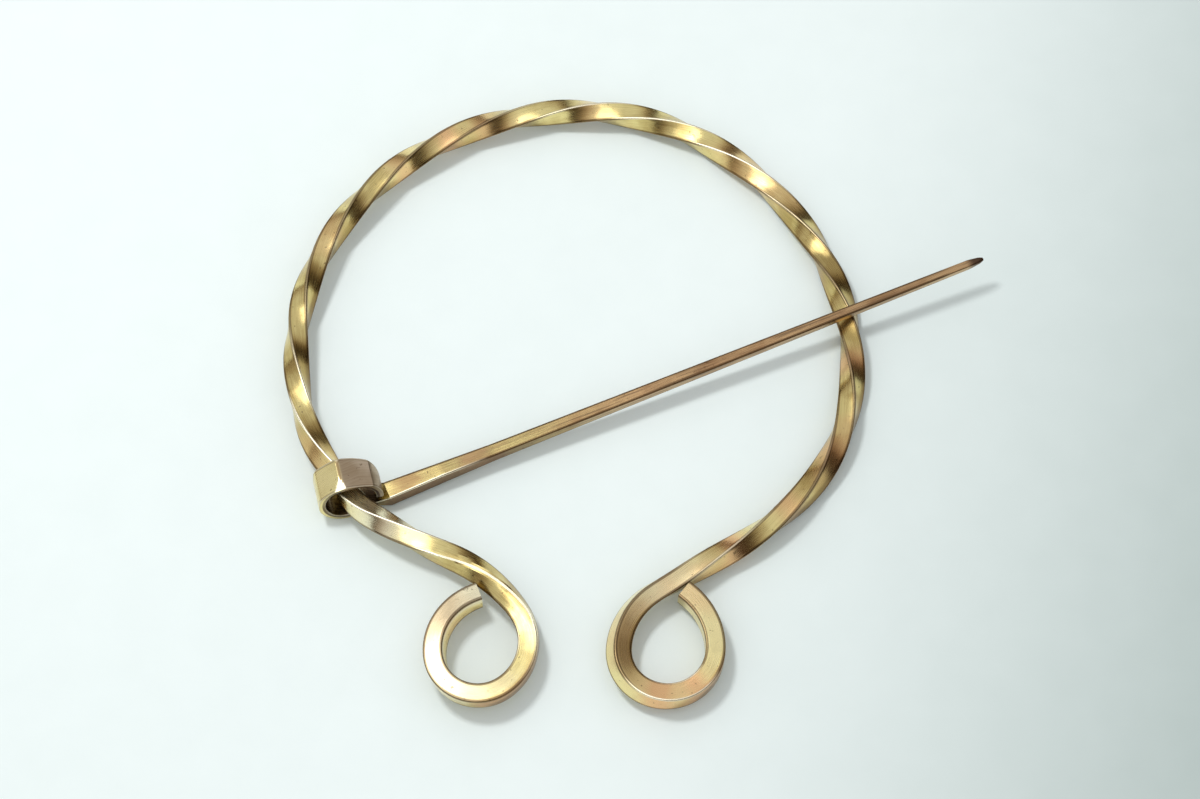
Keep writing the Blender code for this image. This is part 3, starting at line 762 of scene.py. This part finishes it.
for angle, depth in HEAD_FLATS:
    centre_x = BORE_LEFT if angle > 90.0 else BORE_RIGHT
    flat_side = Vector((math.cos(math.radians(angle)), 0.0, math.sin(math.radians(angle))))
    reach = centre_x * flat_side.x + BORE + STRIP_THICK - depth * MM
    flat_side = np.array(pin_place @ (head_turn @ flat_side))
    above = (head - np.array(HINGE)) @ flat_side - reach
    head -= np.maximum(0.0, above)[..., None] * flat_side
rim_heights = head @ np.array(RIM_FLAT_SIDE)
rim_beaten = np.maximum(0.0, rim_heights - rim_heights.max() + RIM_FLAT_DEPTH)
head -= rim_beaten[..., None] * np.array(RIM_FLAT_SIDE)
pin_arris = np.array([entry[4] for entry in pin_sections])
strip_from_root = len(distances)
pin_arris[:strip_from_root] *= np.interp(distances, ARRIS_FADES_AT, (1.0, 0.0))[:, None]
near_top = np.array([(entry[3][:, 0] < 0.0) & (entry[3][:, 1] > 0.0) for entry in pin_sections])
# Painted highlight, partly wear, on the rubbed arrises.
pin_rubbed_and_highlight = pin_arris * HEAD_RUBBED_AND_HIGHLIGHT
pin_rubbed_and_highlight[:strip_from_root] = np.interp(distances, RUBBED_HIGHLIGHT_FADES_AT, (1.0, 0.0))[:, None]
pin_rubbed_and_highlight[:strip_from_root] *= near_top[:strip_from_root]
# Painted shade at the crease.
crease_shade = np.clip(1.0 - np.abs(strip_lengths - CREASE_SHADE_AT) / CREASE_SHADE_WIDTH, 0.0, 1.0)
outer_side = np.array([entry[3][:, 1] < 0.0 for entry in pin_sections[strip_from_root:]])
pin_arris[strip_from_root:] = np.maximum(pin_arris[strip_from_root:], crease_shade[:, None] * outer_side)
# Painted shade and painted reflection on the shank's near side.
pin_near = np.array([-2.0 * entry[3][:, 0] / np.ptp(entry[3][:, 0]) for entry in pin_sections])
pin_painted_light = np.clip((pin_near - NEAR_SIDE_FROM) / (1.0 - NEAR_SIDE_FROM), 0.0, 1.0)
pin_painted_light[:strip_from_root] *= np.interp(distances, NEAR_SIDE_PALER_AT, NEAR_SIDE_PAINTED_LIGHT)[:, None]
# Painted highlight on the rim flat.
pin_painted_light[strip_from_root:] = -RIM_PAINTED_HIGHLIGHT * (rim_beaten > 0.0)
pin_arris[strip_from_root:][rim_beaten > 0.0] = 0.0
# The shank's underside and the inside of the curled strip are darker.
pin_darkened = np.zeros(pin_arris.shape)
for k, (_, _, _, section, _) in enumerate(pin_sections):
    if k < len(distances):
        pin_darkened[k] = UNDERSIDE_DARKENING * (section[:, 1] < -0.45 * np.ptp(section[:, 1]))
    else:
        pin_darkened[k] = section[:, 1] > 0.0
pin_marks = {"arris": pin_arris, "rubbed_and_highlight": pin_rubbed_and_highlight, "toned_and_painted_light": pin_painted_light, "darkened": pin_darkened}
forged_pin = swept("forged_pin", pin_rings, pin_marks)

# The toned copies of the root and shank colours also carry the painted shade on the shank's near side.
COPPERY_BRIGHT = (0.61, 0.39, 0.20)
COPPERY_TONED_AND_SHADED = (0.30, 0.165, 0.08)
ROOT_BRIGHT = (0.56, 0.45, 0.19)
ROOT_TONED_AND_SHADED = (0.32, 0.19, 0.09)
STRIP_BRIGHT = (0.92, 0.79, 0.39)
STRIP_TONED = (0.66, 0.53, 0.24)
STRIP_BLUSH = (0.78, 0.64, 0.32)
# Painted shade: the fold, turned from the lamp, gets darker brown copies of the strip's colours.
FOLD_SHADED_BRIGHT = (0.52, 0.42, 0.31)
FOLD_SHADED_TONED = (0.34, 0.25, 0.16)
PIN_BLUSH = (0.62, 0.38, 0.22)
BLACK_BROWN = (0.07, 0.04, 0.03)
ROOT_FROM = 30.0 * MM
ROOT_TO = 45.0 * MM
STRIP_FROM = 55.0 * MM
STRIP_TO = 57.0 * MM
FOLD_FROM = 63.15 * MM
FOLD_TO = 63.65 * MM
SOOT_LENGTH = 1.7 * MM
SHANK_STREAKS = (130.0, 3800.0, 1.0)
PIN_TONE = 0.45
SHANK_GLOSS = 0.27
FOLD_GLOSS = 0.44
PIN_UNEVEN = 0.030 * MM

coppery = bpy.data.materials.new("forged_brass")
coppery.use_nodes = True
coppery_nodes = coppery.node_tree.nodes
coppery_links = coppery.node_tree.links
coppery_shader = coppery_nodes["Principled BSDF"]
coppery_shader.inputs["Metallic"].default_value = 1.0
coppery_surface = coppery_nodes.new("ShaderNodeUVMap")
coppery_surface.uv_map = "surface"
coppery_length = coppery_nodes.new("ShaderNodeSeparateXYZ")
coppery_links.new(coppery_surface.outputs["UV"], coppery_length.inputs["Vector"])
from_point = coppery_length.outputs["X"]
coppery_darkened = coppery_nodes.new("ShaderNodeAttribute")
coppery_darkened.attribute_name = "darkened"
rooted = spread(coppery_nodes, coppery_links, from_point, ROOT_FROM, ROOT_TO, 0.0, 1.0)
stripped = spread(coppery_nodes, coppery_links, from_point, STRIP_FROM, STRIP_TO, 0.0, 1.0)
folded = spread(coppery_nodes, coppery_links, from_point, FOLD_FROM, FOLD_TO, 0.0, 1.0)
sooty = spread(coppery_nodes, coppery_links, from_point, SOOT_LENGTH / 2.0, SOOT_LENGTH, 0.85, 0.0)
# Darker on the shank's underside and inside the strip.
darkened_share = spread(coppery_nodes, coppery_links, coppery_darkened.outputs["Fac"], 0.3, 1.0, 0.0, 0.85)
dark = reckon(coppery_nodes, coppery_links, "MAXIMUM", sooty, darkened_share)
streaks = grain(coppery_nodes, coppery_links, coppery_surface.outputs["UV"], SHANK_STREAKS, 2.0)
streaked = spread(coppery_nodes, coppery_links, streaks, 0.48, 0.66, 0.0, 0.55)
drawn = spread(coppery_nodes, coppery_links, from_point, ROOT_FROM, STRIP_FROM, 1.0, 0.0)
streaked = reckon(coppery_nodes, coppery_links, "MULTIPLY", streaked, drawn)
dark = reckon(coppery_nodes, coppery_links, "MAXIMUM", dark, streaked)
bright = blend_colour(coppery_nodes, coppery_links, rooted, COPPERY_BRIGHT, ROOT_BRIGHT)
bright = blend_colour(coppery_nodes, coppery_links, stripped, bright, STRIP_BRIGHT)
# Painted shade on the fold.
bright = blend_colour(coppery_nodes, coppery_links, folded, bright, FOLD_SHADED_BRIGHT)
bright = blend_colour(coppery_nodes, coppery_links, dark, bright, BLACK_BROWN)
toned_and_painted_light = blend_colour(coppery_nodes, coppery_links, rooted, COPPERY_TONED_AND_SHADED, ROOT_TONED_AND_SHADED)
toned_and_painted_light = blend_colour(coppery_nodes, coppery_links, stripped, toned_and_painted_light, STRIP_TONED)
toned_and_painted_light = blend_colour(coppery_nodes, coppery_links, folded, toned_and_painted_light, FOLD_SHADED_TONED)
toned_and_painted_light = blend_colour(coppery_nodes, coppery_links, dark, toned_and_painted_light, BLACK_BROWN)
blush = blend_colour(coppery_nodes, coppery_links, stripped, PIN_BLUSH, STRIP_BLUSH)
blush = blend_colour(coppery_nodes, coppery_links, folded, blush, PIN_BLUSH)
gloss = spread(coppery_nodes, coppery_links, from_point, FOLD_FROM, FOLD_TO, SHANK_GLOSS, FOLD_GLOSS)
coppery_wear = coppery_nodes.new("ShaderNodeGroup")
coppery_wear.node_tree = brass_wear_and_painted_light
coppery_wear.inputs["Worn_and_highlight"].default_value = (*BRASS_WORN_AND_HIGHLIGHT, 1.0)
coppery_wear.inputs["Dirt_and_shade"].default_value = (*BRASS_DIRT_AND_SHADE, 1.0)
coppery_wear.inputs["Tone"].default_value = PIN_TONE
coppery_bump = coppery_nodes.new("ShaderNodeBump")
coppery_bump.inputs["Strength"].default_value = 1.0
coppery_bump.inputs["Distance"].default_value = PIN_UNEVEN
coppery_links.new(bright, coppery_wear.inputs["Bright"])
coppery_links.new(toned_and_painted_light, coppery_wear.inputs["Toned_and_shaded"])
coppery_links.new(blush, coppery_wear.inputs["Blush_and_shade"])
coppery_links.new(gloss, coppery_wear.inputs["Gloss"])
coppery_links.new(coppery_wear.outputs["Height"], coppery_bump.inputs["Height"])
coppery_links.new(coppery_wear.outputs["Color"], coppery_shader.inputs["Base Color"])
coppery_links.new(coppery_wear.outputs["Roughness"], coppery_shader.inputs["Roughness"])
coppery_links.new(coppery_bump.outputs["Normal"], coppery_shader.inputs["Normal"])
forged_pin.data.materials.append(coppery)
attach(forged_pin, "pin")
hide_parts("pin")
